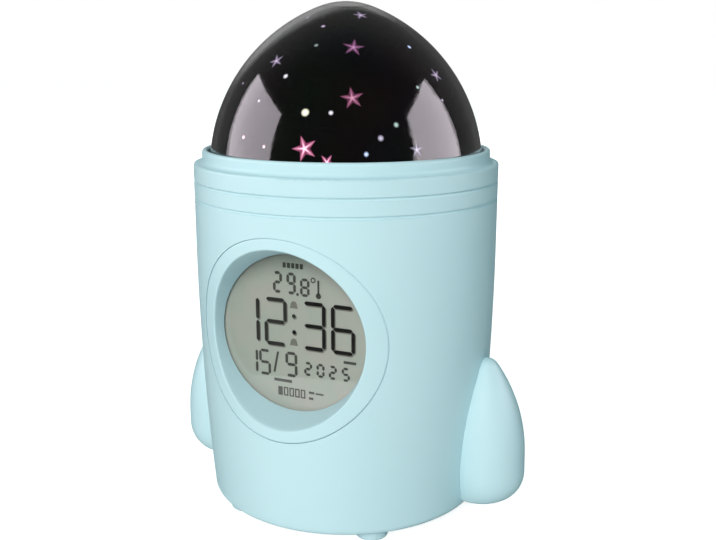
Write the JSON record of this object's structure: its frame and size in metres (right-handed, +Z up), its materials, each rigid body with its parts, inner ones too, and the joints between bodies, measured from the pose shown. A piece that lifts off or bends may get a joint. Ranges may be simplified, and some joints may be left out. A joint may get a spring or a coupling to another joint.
{
  "type": "projection alarm clock",
  "caption": "Rocket-shaped table alarm clock with a round recessed display, two side fins and a turning star projector dome on top.",
  "frame": {"origin": "centre of the clock on the plane that its feet rest on", "axes": "+Z up, the display faces -Y, the fins stand on -X and +X"},
  "size_m": [0.1344, 0.105, 0.1745],
  "materials": {
    "housing_abs": "satin moulded ABS, pale turquoise",
    "key_abs": "fine satin ABS, white",
    "gear_pom": "moulded acetal, natural white",
    "plated_steel": "nickel plated",
    "circuit_board": "green solder mask on glass fibre",
    "white_board": "white solder mask",
    "light_guide": "milky acrylic",
    "black_plastic": "matt moulded black",
    "foam": "closed-cell foam",
    "zebra_rubber": "silicone",
    "clear_window": "clear acrylic, polished",
    "clear_dome": "clear polycarbonate, high gloss",
    "mask_black": "black, high gloss",
    "lcd_glass": "grey-green liquid crystal glass",
    "led_red": "tinted epoxy",
    "led_green": "tinted epoxy",
    "led_blue": "tinted epoxy",
    "led_white": "clear epoxy"
  },
  "bodies": {
    "housing": {"body_shell": "housing_abs", "top_ring": "housing_abs", "fin_left": "housing_abs", "fin_right": "housing_abs", "fin_screws": "plated_steel", "display_bezel": "housing_abs", "display_window": "clear_window", "lcd_panel": "lcd_glass", "lcd_frame": "gear_pom", "backlight_plate": "light_guide", "lcd_connectors": "zebra_rubber", "main_board": "circuit_board", "controller_chip": "black_plastic", "display_screws": "plated_steel", "board_screws": "plated_steel", "rear_panel": "housing_abs", "slide_switch": "plated_steel", "control_board": "circuit_board", "tact_switches": "black_plastic", "usb_socket": "plated_steel", "temperature_sensor": "black_plastic", "panel_screws": "plated_steel", "control_screws": "plated_steel", "base_cover": "housing_abs", "base_screws": "plated_steel", "contact_springs": "plated_steel", "contact_plates": "plated_steel", "speaker": "black_plastic", "speaker_gasket": "foam", "projector_deck": "black_plastic", "deck_screws": "plated_steel", "gear_motor": "plated_steel", "motor_screws": "plated_steel", "light_board": "white_board", "led_red": "led_red", "led_green": "led_green", "led_blue": "led_blue", "led_white": "led_white", "light_screws": "plated_steel"},
    "dome": {"turntable": "gear_pom", "dome_cover": "clear_dome", "star_mask": "mask_black", "dome_screws": "plated_steel"},
    "pinion": {"drive_pinion": "gear_pom", "motor_shaft": "plated_steel"},
    "alarm_button": {"alarm_button": "key_abs"},
    "mode_button": {"mode_button": "key_abs"},
    "up_button": {"up_button": "key_abs"},
    "down_button": {"down_button": "key_abs"},
    "light_button": {"light_button": "key_abs"},
    "sound_button": {"sound_button": "key_abs"},
    "slider": {"switch_slider": "key_abs"},
    "door": {"battery_door": "housing_abs"}
  },
  "joints": [
    {"name": "dome_spin", "type": "hinge", "parent": "housing", "child": "dome", "pos_m": [0, 0, 0.12], "axis": [0, 0, 1], "continuous": true},
    {"name": "pinion_spin", "type": "hinge", "parent": "housing", "child": "pinion", "pos_m": [0.02121, 0.02121, 0.12], "axis": [0, 0, 1], "continuous": true},
    {"name": "alarm_button_press", "type": "slide", "parent": "housing", "child": "alarm_button", "axis": [0, -1, 0], "range_m": [0, 0.0008], "stiffness_N_per_m": 900},
    {"name": "mode_button_press", "type": "slide", "parent": "housing", "child": "mode_button", "axis": [0, -1, 0], "range_m": [0, 0.0008], "stiffness_N_per_m": 900},
    {"name": "up_button_press", "type": "slide", "parent": "housing", "child": "up_button", "axis": [0, -1, 0], "range_m": [0, 0.0008], "stiffness_N_per_m": 900},
    {"name": "down_button_press", "type": "slide", "parent": "housing", "child": "down_button", "axis": [0, -1, 0], "range_m": [0, 0.0008], "stiffness_N_per_m": 900},
    {"name": "light_button_press", "type": "slide", "parent": "housing", "child": "light_button", "axis": [0, -1, 0], "range_m": [0, 0.0008], "stiffness_N_per_m": 900},
    {"name": "sound_button_press", "type": "slide", "parent": "housing", "child": "sound_button", "axis": [0, -1, 0], "range_m": [0, 0.0008], "stiffness_N_per_m": 900},
    {"name": "switch_slide", "type": "slide", "parent": "housing", "child": "slider", "axis": [1, 0, 0], "range_m": [0, 0.004]},
    {"name": "door_open", "type": "hinge", "parent": "housing", "child": "door", "pos_m": [0, -0.02385, 0.0055], "axis": [-1, 0, 0], "range_deg": [0, 75]}
  ],
  "couplings": [
    {"joint": "pinion_spin", "follows": "dome_spin", "ratio": 6}
  ]
}
